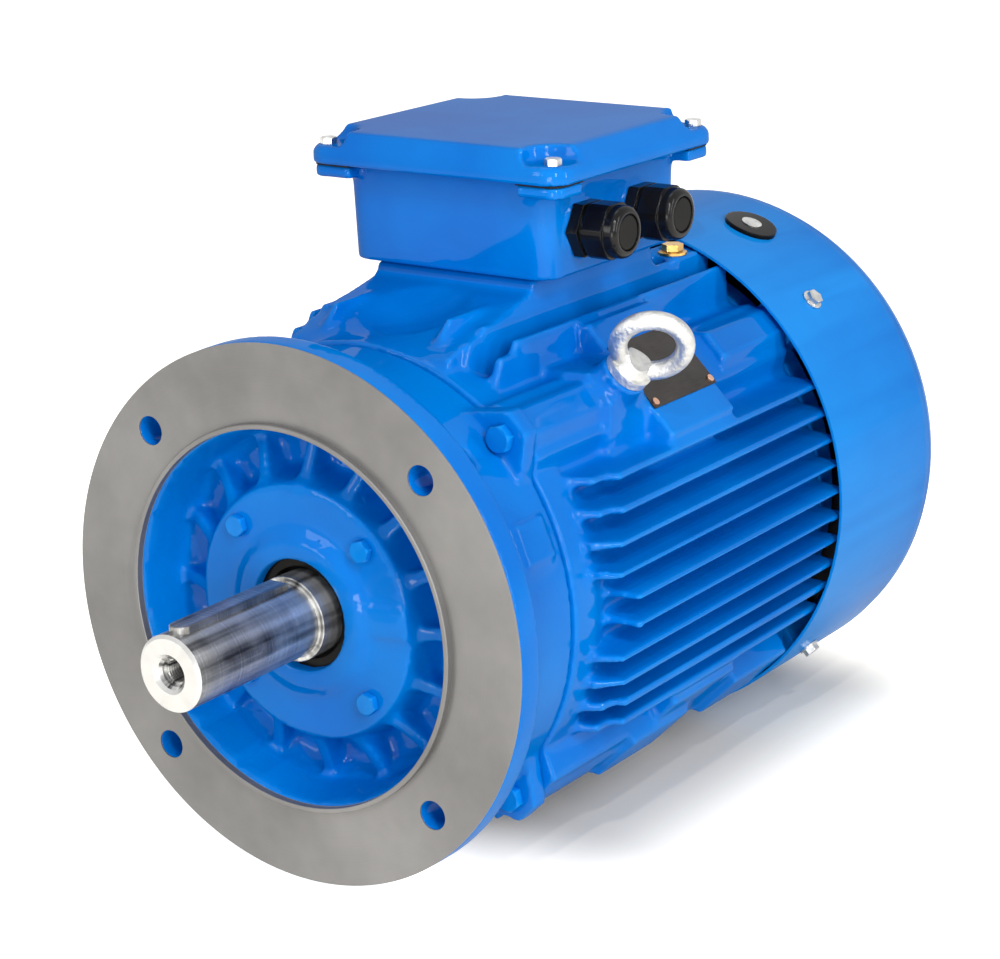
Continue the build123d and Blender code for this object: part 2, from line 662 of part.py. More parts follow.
def fan_cowl():
    """Sheet cowl with a slotted grille."""
    inner = COWL_R - COWL_T
    steps = 6
    bend_r = COWL_R - COWL_BEND_R
    outer_arc = []
    inner_arc = []
    for k in range(steps + 1):
        a = math.radians(90 / steps * k)
        big, small = COWL_BEND_R, COWL_BEND_R - COWL_T
        outer_arc.append((COWL_BEND_X - big * math.sin(a), bend_r + big * math.cos(a)))
        inner_arc.append((COWL_BEND_X - small * math.sin(a), bend_r + small * math.cos(a)))
    outline = [(COWL_X0, inner), (COWL_X0, COWL_R)] + outer_arc + [(COWL_X1, 0), (COWL_X1 + COWL_T, 0)]
    body = turned(outline + inner_arc[::-1])
    slots = None
    for k in range(8):
        r = 32.0 + 14.0 * k
        ring = tube(COWL_X1 - 1, COWL_X1 + COWL_T + 1, r + 8, r)
        slots = ring if slots is None else slots + ring
    for angle in (0, 60, 120):
        slots -= Rot(angle, 0, 0) * block((COWL_X1 - 2, COWL_X1 + 4), (-160, 160), (-4, 4))
    body -= slots
    for angle in CORNERS:
        body -= facing_out(COWL_SCREW_X, inner, angle) * peg(3.4, -2, 8)
    return body - facing_out(PLUG_X, inner, PLUG_ANGLE) * peg(16.5, -6, 8)


def cowl_plug():
    """Rubber plug that closes the round hole in the cowl."""
    place = facing_out(PLUG_X, COWL_R - COWL_T, PLUG_ANGLE)
    flange = (place * peg(19, -10, 12)) & tube(PLUG_X - 30, PLUG_X + 30, COWL_R + 3, COWL_R)
    stem = (place * peg(16.4, -10, 12)) & tube(PLUG_X - 30, PLUG_X + 30, COWL_R + 1, COWL_R - COWL_T - 2)
    body = flange + stem
    return body - place * peg(7.5, 3, 12)


def cowl_plug_button():
    """Metal button in the middle of the plug."""
    return facing_out(PLUG_X, COWL_R - COWL_T, PLUG_ANGLE) * peg(7.4, 3, 5.6)


def drafted_box(z0, z1, half_low, half_high, corner):
    """Block whose sides lean, with rounded upright corners."""
    low = Pos(BOX_X, 0, z0) * RectangleRounded(2 * half_low[0], 2 * half_low[1], corner)
    high = Pos(BOX_X, 0, z1) * RectangleRounded(2 * half_high[0], 2 * half_high[1], corner)
    return loft([low, high])


def corner_lugs(z0, z1):
    """Four lugs under the lid's corners, one round each lid screw."""
    reach_x = LID_SCREW_X + LID_BOSS_R
    reach_y = LID_SCREW_Y + LID_BOSS_R
    plate = Pos(BOX_X, 0, z0) * extrude(RectangleRounded(2 * reach_x, 2 * reach_y, LID_BOSS_R), amount=z1 - z0)
    half_x, half_y = BOX_HALF_X1 - BOX_CORNER_R, BOX_HALF_Y1 - BOX_CORNER_R
    plate -= block((BOX_X - half_x, BOX_X + half_x), (-reach_y - 1, reach_y + 1), (z0 - 1, z1 + 1))
    return plate - block((BOX_X - reach_x - 1, BOX_X + reach_x + 1), (-half_y, half_y), (z0 - 1, z1 + 1))


def terminal_box_base():
    """Terminal box body."""
    low = (BOX_HALF_X0, BOX_HALF_Y0)
    high = (BOX_HALF_X1, BOX_HALF_Y1)
    body = drafted_box(BOX_FOOT_Z, BOX_Z1, low, high, BOX_CORNER_R)
    body += corner_lugs(BOX_Z1 - LID_BOSS_H, BOX_Z1)
    inner_low = (low[0] - BOX_WALL, low[1] - BOX_WALL)
    inner_high = (high[0] - BOX_WALL, high[1] - BOX_WALL)
    inside = drafted_box(BOX_FLOOR_Z, BOX_Z1 + 1, inner_low, inner_high, BOX_CORNER_R - BOX_WALL)
    body -= inside
    for x, y in lid_screw_places():
        body -= Pos(x, y, BOX_Z1) * peg(3.0, 1 - LID_BOSS_H, 1)
    wall = inner_low[1] - 2
    for x in GLAND_X:
        seat = Pos(x, 0, GLAND_Z) * Rot(-90, 0, 0)
        body += seat * peg(17.5, wall, GLAND_SEAT_Y)
        body -= seat * peg(17.5, wall - 12, wall)
        body -= seat * peg(GLAND_R, wall - 12, GLAND_SEAT_Y + 10)
    hole = LEAD_HOLE_HALF - 4
    body -= block((LEAD_HOLE_X[0] + 6, LEAD_HOLE_X[1] - 6), (-hole, hole), (BOX_FOOT_Z - 1, BOX_FLOOR_Z + 1))
    for x, y in box_screw_places():
        body -= Pos(x, y, BOX_FLOOR_Z) * peg(3.4, -8, 1)
    for x, y in block_screw_places():
        body += Pos(x, y, 0) * peg(5, BOX_FLOOR_Z - 1, BLOCK_Z0)
        body -= Pos(x, y, 0) * peg(2.5, BOX_FLOOR_Z - 2, BLOCK_Z0 + 1)
    body += Pos(BOX_X, BOX_EARTH_Y, BOX_FLOOR_Z) * peg(7, -1, 5)
    return body - Pos(BOX_X, BOX_EARTH_Y, BOX_FLOOR_Z) * peg(3.0, -3, 6)


def lid_screw_places():
    """Lid screws near the four corners."""
    return [(BOX_X + sx * LID_SCREW_X, sy * LID_SCREW_Y) for sx in (-1, 1) for sy in (-1, 1)]


def block_screw_places():
    """Screws that hold the terminal block."""
    return [(BOX_X - BLOCK_SCREW_X, 0.0), (BOX_X + BLOCK_SCREW_X, 0.0)]


def box_gasket():
    """Gasket between pedestal and box."""
    plate = Pos(BOX_X, 0, BOX_Z0) * extrude(Rectangle(2 * BOX_HALF_X0 - 20, 2 * PEDESTAL_HALF_Y - 2),
                                            amount=BOX_GASKET_T)
    hole = LEAD_HOLE_HALF
    plate -= block(LEAD_HOLE_X, (-hole, hole), (BOX_Z0 - 1, BOX_Z0 + 3))
    for x, y in box_screw_places():
        plate -= Pos(x, y, BOX_Z0) * peg(3.4, -1, 3)
    return plate


def lid_gasket():
    """Gasket between box and lid."""
    outer = Pos(BOX_X, 0, BOX_Z1) * RectangleRounded(2 * BOX_HALF_X1 - 1, 2 * BOX_HALF_Y1 - 1, BOX_CORNER_R)
    inner_half = (BOX_HALF_X1 - BOX_WALL + 0.5, BOX_HALF_Y1 - BOX_WALL + 0.5)
    ring = extrude(outer, amount=LID_GASKET_T) + corner_lugs(BOX_Z1, LID_Z)
    ring -= drafted_box(BOX_Z1 - 1, LID_Z + 1, inner_half, inner_half, BOX_CORNER_R - BOX_WALL)
    for x, y in lid_screw_places():
        ring -= Pos(x, y, BOX_Z1) * peg(4.0, -1, 3)
    return ring


def terminal_box_lid():
    """Lid with leaning sides, a flat top and a round screw ledge at each corner."""
    level = LID_Z + LID_BAND
    band = RectangleRounded(2 * LID_HALF_X, 2 * LID_HALF_Y, LID_CORNER_R)
    top = RectangleRounded(2 * LID_TOP_HALF_X, 2 * LID_TOP_HALF_Y, LID_CORNER_R - 4)
    body = Pos(BOX_X, 0, LID_Z) * extrude(band, amount=LID_BAND)
    body += loft([Pos(BOX_X, 0, level) * band, Pos(BOX_X, 0, LID_TOP_Z) * top])
    for x, y in lid_screw_places():
        body -= Pos(x, y, LID_LEDGE_Z) * peg(LID_LEDGE_R, 0, LID_HEIGHT)
    low = (BOX_HALF_X1 - BOX_WALL, BOX_HALF_Y1 - BOX_WALL)
    high = (low[0] - 6, low[1] - 6)
    cavity = drafted_box(LID_Z - 1, LID_TOP_Z - LID_ROOF_T, low, high, 8)
    for x, y in lid_screw_places():
        cavity -= Pos(x, y, LID_Z) * peg(LID_LEDGE_R + LID_ROOF_T, -2, LID_HEIGHT)
    body -= cavity
    for x, y in lid_screw_places():
        body -= Pos(x, y, LID_Z) * peg(3.4, -1, 20)
    return body


def gland_place(x):
    """Place of one gland, its Z looking out of the box from the shaft's plane."""
    return Pos(x, 0, GLAND_Z) * Rot(-90, 0, 0)


def gland_body(x):
    """Gland body with its hexagon, wall thread and clamping sleeve."""
    wall = GLAND_SEAT_Y
    collar = wall + GLAND_FLANGE_T
    body = peg(GLAND_R - THREAD, wall - 22, wall) + hexagon(GLAND_AF, wall, collar)
    body += peg(15.6, collar, collar + GLAND_COLLAR_T) + peg(13.4, collar, collar + GLAND_NUT_L)
    return gland_place(x) * (body - peg(GLAND_BORE_R, wall - 23, collar + GLAND_NUT_L + 1))


def gland_nut(x):
    """Domed hexagon nut of one gland."""
    z0 = GLAND_SEAT_Y + GLAND_FLANGE_T + GLAND_COLLAR_T
    z1 = z0 + GLAND_NUT_L
    z2 = z1 + GLAND_CAP_L
    skirt = hexagon(GLAND_AF + 1, z0, z1) & peg(GLAND_NUT_R, z0, z1)
    cap = peg(GLAND_CAP_R, z1, z2)
    cap = fillet(cap.edges().group_by(Axis.Z)[-1], 4.0)
    return gland_place(x) * (skirt + cap - peg(13.6, z0 - 1, z1 + 3) - peg(GLAND_END_R, z0, z2 + 1))


def gland_seal(x):
    """Rubber sleeve squeezed inside one gland."""
    sleeve = GLAND_SEAT_Y + GLAND_FLANGE_T + GLAND_NUT_L
    end = GLAND_SEAT_Y + GLAND_FLANGE_T + GLAND_COLLAR_T + GLAND_NUT_L + GLAND_CAP_L
    body = peg(GLAND_BORE_R - THREAD, sleeve - 16, sleeve) + peg(13.2, sleeve, sleeve + 5)
    body += peg(GLAND_END_R - THREAD, sleeve + 5, end - 2)
    return gland_place(x) * (body - peg(6.0, sleeve - 17, end))


def gland_blank(x):
    """Blanking disc that closes one unused gland."""
    end = GLAND_SEAT_Y + GLAND_FLANGE_T + GLAND_COLLAR_T + GLAND_NUT_L + GLAND_CAP_L
    return gland_place(x) * (peg(GLAND_END_R - 1, end - 2, end - 0.5) + peg(6.0 - THREAD, end - 16, end - 2))


def gland_locknut(x):
    """Locknut inside the box wall."""
    wall = BOX_HALF_Y0 - BOX_WALL - 2
    return gland_place(x) * (hexagon(GLAND_AF - 4, wall - 6, wall) - peg(GLAND_R, wall - 7, wall + 1))


def terminal_block():
    """Insulating block with barriers between the studs."""
    half_x, half_y, rise, barrier = 50.0, 26.0, 7.0, 1.5
    body = block((BOX_X - half_x, BOX_X + half_x), (-half_y, half_y), (BLOCK_Z0, BLOCK_TOP_Z))
    for k in (-1.5, -0.5, 0.5, 1.5):
        x = BOX_X + k * STUD_PITCH
        body += block((x - barrier, x + barrier), (-half_y, half_y), (BLOCK_TOP_Z, BLOCK_TOP_Z + rise))
    for x, y in block_screw_places():
        body -= Pos(x, y, BLOCK_Z0) * peg(2.8, -1, 30)
    for x, y in stud_places():
        body -= Pos(x, y, BLOCK_Z0) * peg(3.0, -1, 30)
    return body


def terminal_studs():
    """Studs with their lead feet below the block."""
    return [Pos(x, y, 0) * (peg(2.9, STUD_FOOT_Z, BLOCK_TOP_Z + 22) + peg(4.4, STUD_FOOT_Z, BLOCK_Z0))
            for x, y in stud_places()]


def terminal_nuts():
    """Nuts that clamp the links."""
    z0 = BLOCK_TOP_Z + LINK_T
    return [Pos(x, y, z0) * (hexagon(8.0, 0, 5) - peg(3.0, -1, 6)) for x, y in stud_places()]


def terminal_links():
    """Links across one row of studs."""
    z = (BLOCK_TOP_Z, BLOCK_TOP_Z + LINK_T)
    bars = []
    for x, y in stud_places():
        bars.append(block((x - 7, x + 7), (y - 6, y + 6), z) - Pos(x, y, BLOCK_TOP_Z) * peg(3.0, -1, 3))
    for k in range(3):
        x = stud_places()[k][0]
        bars[k] += block((x - 5, x + 5), (5 - STUD_Y, STUD_Y - 5), z)
        bars[k] += bars[k + 3]
    return bars[:3]


def eyebolt():
    """Lifting eyebolt, its ring turned about the shank."""
    eye = Pos(0, 0, EYE_CENTRE_C - EYE_SEAT_C) * Rot(0, 0, EYE_TURN) * Rot(90, 0, 0)
    neck = Cone(12.0, 8.0, 10, align=(Align.CENTER, Align.CENTER, Align.MIN))
    body = eye * Torus(EYE_R, EYE_TUBE_R) + peg(EYE_COLLAR_R, 0, EYE_COLLAR_T) + Pos(0, 0, EYE_COLLAR_T) * neck
    body -= eye * Cylinder(EYE_R - EYE_TUBE_R, 40)
    body += peg(EYE_SHANK_R - THREAD, -EYE_SHANK_L, 0)
    return facing_out(BOSS_X, EYE_SEAT_C, 45) * body


def nameplate():
    """Bare plate on the diagonal pad."""
    plate = block(PLATE_X, (PLATE_C, PLATE_C + PLATE_T), (-PLATE_HALF, PLATE_HALF))
    for x, t in plate_corners():
        plate -= Pos(x, PLATE_C, t) * Rot(-90, 0, 0) * peg(RIVET_R, -1, 3)
    return Rot(45, 0, 0) * plate


def nameplate_rivets():
    """Round-headed rivets."""
    rivet = peg(RIVET_R - FIT, -4, PLATE_T) + peg(2.6, PLATE_T, PLATE_T + 1.2)
    return [Rot(45, 0, 0) * Pos(x, PLATE_C, t) * Rot(-90, 0, 0) * rivet for x, t in plate_corners()]


def frame_earth_screw():
    """Earthing screw with its dished washer."""
    dish = turned([(0, 0), (0, 10), (1.6, 10), (2.4, 4.5), (2.4, 0)])
    screw = Rot(0, -90, 0) * dish + hexagon(13, 2.3, 7) + peg(4.0 - THREAD, -14, 1)
    return Pos(EARTH_X, EARTH_Y, EARTH_PAD_Z) * screw


def core_parts():
    """Castings and the electrical core."""
    export("frame_housing", frame_housing())
    export("flange_endshield", flange_endshield())
    export("rear_endshield", rear_endshield())
    export("front_bearing_cap", front_bearing_cap())
    export("rear_bearing_cap", rear_bearing_cap())
    export("stator_core", stator_core())
    export("stator_windings", stator_windings())
    export("winding_leads", winding_leads())
    export("rotor_core", rotor_core())
    export("rotor_cage", rotor_cage())


def casting_bolts():
    """Bolts of endshields and caps."""
    front = [facing_front(LUG_SEAT_X, LUG_BOLT_R, a) for a in CORNERS]
    rear = [facing_rear(FRAME_X1 - 18, REAR_BOLT_R, a) for a in CORNERS]
    hub_front = [facing_front(HUB_FACE_X, HUB_BOLT_R, a) for a in CORNERS]
    hub_rear = [facing_rear(REAR_SHIELD_X1 + 8, HUB_BOLT_R, a) for a in CORNERS]
    export("endshield_bolts", bolts(front, 5.0 - THREAD, 36, 16, 6.4))
    export("rear_endshield_bolts", bolts(rear, 5.0 - THREAD, 40, 16, 6.4))
    export("front_cap_bolts", bolts(hub_front, 4.0 - THREAD, 62, 13, 5.3))
    export("rear_cap_bolts", bolts(hub_rear, 4.0 - THREAD, 44, 13, 5.3))


def rotor_parts():
    """Shaft, bearings, seals and fan."""
    export("shaft", shaft())
    export("shaft_key", shaft_key())
    groove = BALL_R + RUN
    for name, x0 in (("front", FRONT_BRG_X), ("rear", REAR_BRG_X)):
        export(f"{name}_bearing_outer", race(x0, (BRG_OUTER_R, BRG_R - FIT), groove))
        export(f"{name}_bearing_inner", race(x0, (BRG_BORE_R, BRG_INNER_R), groove))
        export(f"{name}_bearing_balls", balls(x0))
        export(f"{name}_bearing_cage", ball_cage(x0))
    spring_x = REAR_BRG_X - BRG_W
    export("wave_spring_washer", tube(spring_x, spring_x - 3, BRG_R - 1, 53))
    export("front_shaft_seal", shaft_seal(-25, -15, BRG_BORE_R))
    export("rear_shaft_seal", shaft_seal(REAR_BRG_X - BRG_W - 6, REAR_SHIELD_X1 + 1, 25.0 + RUN))
    export("fan", fan())
    export("fan_key", block((-480, -456), (-4, 4), (18, 25)))
    export("fan_circlip", tube(-484, -486, 27, 20.5) - block((-487, -483), (-5, 5), (-40, 0)))


def outer_parts():
    """Cowl, terminal box, glands and small outside pieces."""
    export("fan_cowl", fan_cowl())
    export("cowl_screws", [facing_out(COWL_SCREW_X, COWL_R, a) * washer_screw(2.9, 11, 6.0, 4, 7.5, 1.6)
                           for a in CORNERS])
    export("cowl_plug", cowl_plug())
    export("cowl_plug_button", cowl_plug_button())
    export("terminal_box_base", terminal_box_base())
    export("terminal_box_lid", terminal_box_lid())
    export("box_gasket", box_gasket())
    export("lid_gasket", lid_gasket())
    export("lid_screws", [Pos(x, y, LID_LEDGE_Z) * hex_bolt(2.9, 19, 10, 4.5) for x, y in lid_screw_places()])
    export("box_screws", [Pos(x, y, BOX_FLOOR_Z) * hex_bolt(2.9, 20, 10, 4) for x, y in box_screw_places()])
    export("terminal_block", terminal_block())
    export("terminal_studs", terminal_studs())
    export("terminal_nuts", terminal_nuts())
    export("terminal_links", terminal_links())
    export("terminal_block_screws", [Pos(x, y, BLOCK_TOP_Z) * hex_bolt(2.4, 16, 8, 3)
                                     for x, y in block_screw_places()])
    export("box_earth_screw", Pos(BOX_X, BOX_EARTH_Y, BOX_FLOOR_Z + 5) * washer_screw(2.9, 7, 5.5, 4, 7, 1.2))
    export("gland_bodies", [gland_body(x) for x in GLAND_X])
    export("gland_nuts", [gland_nut(x) for x in GLAND_X])
    export("gland_seals", [gland_seal(x) for x in GLAND_X])
    export("gland_blanks", [gland_blank(x) for x in GLAND_X])
    export("gland_locknuts", [gland_locknut(x) for x in GLAND_X])
    export("eyebolt", eyebolt())
    export("nameplate", nameplate())
    export("nameplate_rivets", nameplate_rivets())
    export("frame_earth_screw", frame_earth_screw())


core_parts()
casting_bolts()
rotor_parts()
outer_parts()
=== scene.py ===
import math
from functools import cached_property

import bpy
import numpy
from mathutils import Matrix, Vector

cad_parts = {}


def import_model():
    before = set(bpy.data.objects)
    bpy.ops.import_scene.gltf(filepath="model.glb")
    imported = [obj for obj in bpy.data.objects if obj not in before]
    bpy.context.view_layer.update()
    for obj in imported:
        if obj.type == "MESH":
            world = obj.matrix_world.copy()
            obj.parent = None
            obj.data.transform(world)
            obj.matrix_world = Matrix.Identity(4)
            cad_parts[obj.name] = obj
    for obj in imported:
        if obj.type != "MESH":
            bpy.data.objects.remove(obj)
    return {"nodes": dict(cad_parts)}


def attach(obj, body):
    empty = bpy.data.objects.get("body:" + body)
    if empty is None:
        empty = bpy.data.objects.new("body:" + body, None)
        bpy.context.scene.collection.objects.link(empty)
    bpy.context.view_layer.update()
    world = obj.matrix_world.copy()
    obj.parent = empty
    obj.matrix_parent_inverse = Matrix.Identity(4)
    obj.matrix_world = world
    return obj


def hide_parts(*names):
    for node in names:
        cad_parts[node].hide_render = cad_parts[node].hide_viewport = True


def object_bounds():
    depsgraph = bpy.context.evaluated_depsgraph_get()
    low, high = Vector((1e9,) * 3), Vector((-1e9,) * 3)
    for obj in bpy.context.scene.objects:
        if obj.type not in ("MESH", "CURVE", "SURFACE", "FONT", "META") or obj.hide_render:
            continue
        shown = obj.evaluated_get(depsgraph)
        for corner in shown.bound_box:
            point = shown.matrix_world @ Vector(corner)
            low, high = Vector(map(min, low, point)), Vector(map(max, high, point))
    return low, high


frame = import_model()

import openvdb
from mathutils import Vector

# Sizes named here are in millimetres, and MM turns them into Blender's metres.
MM = 0.001
CAD_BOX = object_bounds()

# Castings with their edges rolled and their inner corners filled:
# node, grid size, corner fill, edge roll and share by which flat stretches get fewer faces
CASTINGS = (
    ("frame_housing", 1.25, 3.5, 1.3, 0.06),
    ("flange_endshield", 1.25, 3.5, 1.6, 0.05),
    ("terminal_box_base", 1.0, 2.5, 1.3, 0.05),
    ("terminal_box_lid", 0.9, 3.0, 1.6, 0.04),
)
STEP_THINNING = 0.01
MATING_X = 0.0

# Turned ring on the flange, standing slightly proud of the casting
FACE_OUTER_R = 174.5
FACE_INNER_R = 121.9
FACE_HOLE_R = 9.6
FACE_HOLE_CIRCLE_R = 150.0
FACE_HOLE_ANGLES = (45, 135, 225, 315)
FACE_HALF_T = 0.4
FACE_CHAMFER = 0.12
FACE_MIDDLE_X = -0.2
SPIGOT_PROFILE = ((-0.5, 121.9), (-0.5, 125.0), (4.5, 125.0), (5.0, 124.5), (5.0, 122.3), (4.7, 121.9))

# Thread in the shaft's centre hole
THREAD_PITCH = 2.0
THREAD_CREST_R = 6.25
THREAD_ROOT_R = 6.97
THREAD_CREST_START = 0.42
THREAD_CREST_END = 0.58
THREAD_X0 = 76.0
THREAD_X1 = 103.0
SHAFT_END_X = 107.8

# Points round a full circle
RING_STEPS = 192
FACE_STEPS = 160
HOLE_STEPS = 48
THREAD_STEPS = 48

# Linear colours
IRON_DARK = (0.15, 0.148, 0.147, 1)
IRON_LIGHT = (0.25, 0.246, 0.243, 1)
STEEL_DARK = (0.05, 0.05, 0.052, 1)
STEEL_LIGHT = (0.60, 0.60, 0.59, 1)
SHEET_DARK = (0.12, 0.12, 0.13, 1)
SHEET_LIGHT = (0.32, 0.32, 0.34, 1)
COPPER_DARK = (0.30, 0.10, 0.035, 1)
COPPER_LIGHT = (0.62, 0.25, 0.09, 1)
BINDING = (0.72, 0.66, 0.5, 1)
PLATE_DARK = (0.026, 0.024, 0.023, 1)
PLATE_LIGHT = (0.075, 0.068, 0.063, 1)
FLOOR_COLOUR = (0.84, 0.79, 0.68, 1)
WHITE = (1, 1, 1, 1)

# Studio, in metres
FLOOR_DROP = 0.001
FLOOR_HALF = 6.0
# Painted shadow: box beside the object (middle and half length along x and y) where the floor's glow is
# dimmed, softened over the fade distance, with the glow left inside it
PAINTED_SHADOW_X = (-0.33, 0.15)
PAINTED_SHADOW_Y = (0.05, 0.055)
PAINTED_SHADOW_FADE = 0.13
PAINTED_SHADOW_GLOW = 0.02
FILL_STRENGTH = 0.30
LIGHT_TARGET = (-0.2, 0.0, 0.0)
# Name, place, width and height, watts
LIGHTS = (
    ("key_strip", (1.0, 1.9, 1.1), (0.3, 1.4), 31.0),
    ("front_low_box", (1.7, 0.9, 0.05), (0.6, 0.5), 12.0),
    ("front_left_box", (1.9, -0.9, 0.8), (0.7, 0.9), 12.0),
    ("side_strip", (-0.7, 2.2, 0.7), (0.2, 1.4), 13.0),
    ("top_box", (-0.4, -0.5, 2.4), (0.8, 0.8), 4.0),
    ("small_lamp_a", (0.9, 0.9, 1.6), (0.05, 0.05), 6.0),
    ("small_lamp_b", (0.6, 1.3, 1.5), (0.05, 0.05), 6.0),
)
CAMERA_PLACE = (1.16049, 1.00015, 0.55174)
CAMERA_TURN = (1.2748486, 0.0263077, 2.1876248)
CAMERA_LENS = 94.58
CAMERA_SENSOR = 36.0
CAMERA_NEAR = 0.05
CAMERA_FAR = 50.0


class Shader:
    """Small builder for the node tree of one material or world."""

    def __init__(self, owner, output="ShaderNodeOutputMaterial"):
        owner.use_nodes = True
        self.owner = owner
        self.tree = owner.node_tree
        self.tree.nodes.clear()
        self.output = self.add(output)

    @cached_property
    def place(self):
        """Position in the piece's own space, in metres."""
        return self.add("ShaderNodeTexCoord").outputs["Object"]

    def add(self, kind, **settings):
        """New node with its settings."""
        node = self.tree.nodes.new(kind)
        for key, value in settings.items():
            setattr(node, key, value)
        return node

    def put(self, socket, value):
        """Set or link one input."""
        if hasattr(value, "is_output"):
            self.tree.links.new(value, socket)
        else:
            socket.default_value = value

    def fill(self, node, **values):
        """Set or link the named inputs of a node, where an underscore stands for a space."""
        for key, value in values.items():
            self.put(node.inputs[key.replace("_", " ")], value)
        return node.outputs[0]

    def math(self, operation, *values):
        """One sum, product or function of values."""
        node = self.add("ShaderNodeMath", operation=operation)
        for socket, value in zip(node.inputs, values):
            self.put(socket, value)
        return node.outputs[0]

    def times(self, value, factor):
        """Product of two values."""
        return self.math("MULTIPLY", value, factor)

    def length(self, a, b):
        """Length of the vector (a, b)."""
        return self.math("SQRT", self.math("ADD", self.times(a, a), self.times(b, b)))

    def blend(self, a, share, b):
        """Sum of the first value's share and the rest of the second."""
        return self.math("ADD", self.times(a, share), self.times(b, 1.0 - share))

    def split(self):
        """The x, y and z of the position."""
        return self.fill(self.add("ShaderNodeSeparateXYZ"), Vector=self.place).node.outputs

    def combine(self, x, y=0.0, z=0.0):
        """Vector from three values."""
        return self.fill(self.add("ShaderNodeCombineXYZ"), X=x, Y=y, Z=z)

    def noise(self, scale, detail=3.0, roughness=0.5, vector=None):
        """Noise with the given number of waves per metre, or per unit of a vector."""
        return self.fill(self.add("ShaderNodeTexNoise"), Scale=scale, Detail=detail, Roughness=roughness,
                         Vector=vector or self.place).node.outputs["Fac"]

    def range(self, value, low, high, to_low=0.0, to_high=1.0):
        """Value mapped from one range to another."""
        return self.fill(self.add("ShaderNodeMapRange"), Value=value, From_Min=low, From_Max=high,
                         To_Min=to_low, To_Max=to_high)

    def mix(self, factor, a, b):
        """Colour between two colours."""
        node = self.add("ShaderNodeMix", data_type="RGBA")
        colours = [socket for socket in node.inputs if socket.type == "RGBA"]
        self.put(node.inputs["Factor"], factor)
        self.put(colours[0], a)
        self.put(colours[1], b)
        return next(socket for socket in node.outputs if socket.type == "RGBA")

    def bevel(self, radius):
        """Normal rounded at sharp edges by a radius in millimetres."""
        return self.fill(self.add("ShaderNodeBevel", samples=4), Radius=radius * MM)

    def bump(self, height, depth, strength, normal=None):
        """Normal disturbed by a height, with its depth in millimetres."""
        node = self.add("ShaderNodeBump")
        if normal is not None:
            self.put(node.inputs["Normal"], normal)
        return self.fill(node, Height=height, Distance=depth * MM, Strength=strength)

    def seen_directly(self):
        """One for rays from the eye, mirrored or not, and zero for the rays that carry light."""
        path = self.add("ShaderNodeLightPath")
        seen = path.outputs["Is Camera Ray"]
        for kind in ("Is Glossy Ray", "Is Transmission Ray"):
            seen = self.math("MAXIMUM", seen, path.outputs[kind])
        return seen

    def finish(self, surface):
        """Link the surface and return what it belongs to."""
        self.put(self.output.inputs["Surface"], surface)
        return self.owner

    def principled(self, **values):
        """Finish with one principled surface."""
        return self.finish(self.fill(self.add("ShaderNodeBsdfPrincipled"), **values))


def material_shader(name):
    """Shader of a new material."""
    return Shader(bpy.data.materials.new(name))


def rgb(red, green, blue):
    """Linear colour from 8-bit display values."""
    def linear(value):
        value /= 255.0
        return value / 12.92 if value <= 0.04045 else ((value + 0.055) / 1.055) ** 2.4
    return (linear(red), linear(green), linear(blue), 1.0)


ENAMEL = rgb(0, 114, 202)
ENAMEL_DEEP = rgb(0, 99, 188)
# Paler blue for the painted highlight on sharp outer edges
ENAMEL_EDGE_HIGHLIGHT = rgb(20, 146, 232)


def enamel(name, radius):
    """Glossy enamel over a slightly uneven casting, with a painted highlight that turns sharp outer edges
    paler blue.
    """
    s = material_shader(name)
    colour = s.mix(s.range(s.noise(scale=9.0), 0.35, 0.65), ENAMEL, ENAMEL_DEEP)
    # Painted highlight: sharp outer edges, found by their pointiness, turn paler blue
    edge = s.add("ShaderNodeNewGeometry").outputs["Pointiness"]
    colour = s.mix(s.range(edge, 0.52, 0.60, 0.0, 0.55), colour, ENAMEL_EDGE_HIGHLIGHT)
    orange_peel = s.bump(s.noise(scale=260.0, detail=2.0), 0.3, 0.16, s.bevel(radius))
    casting = s.bump(s.noise(scale=38.0, detail=2.0), 2.2, 0.16, orange_peel)
    rough = s.range(s.noise(scale=30.0, detail=2.0), 0.3, 0.7, 0.16, 0.26)
    return s.principled(Base_Color=colour, Roughness=rough, Normal=casting, IOR=1.5,
                        Specular_IOR_Level=0.0, Coat_Weight=0.26, Coat_Roughness=0.045)


def round_x(s):
    """Tangent that runs round the shaft axis."""
    return s.add("ShaderNodeTangent", direction_type="RADIAL", axis="X").outputs[0]


def faced_iron(name):
    """Bare turned cast iron with fine rings and a faint smear."""
    s = material_shader(name)
    _, y, z = s.split()
    radius = s.length(y, z)
    rings = s.noise(1.0, 2.0, 0.7, s.combine(s.times(radius, 2600.0)))
    wide_rings = s.noise(1.0, 1.0, 0.5, s.combine(s.times(radius, 260.0)))
    smear = s.noise(scale=9.0, detail=4.0, roughness=0.6)
    colour = s.mix(s.range(s.blend(rings, 0.3, smear), 0.35, 0.65), IRON_DARK, IRON_LIGHT)
    groove = s.bump(wide_rings, 0.2, 0.25, s.bump(rings, 0.1, 0.5))
    rough = s.range(smear, 0.3, 0.7, 0.38, 0.5)
    return s.principled(Base_Color=colour, Metallic=0.45, Roughness=rough, Normal=groove,
                        Anisotropic=0.5, Tangent=round_x(s))


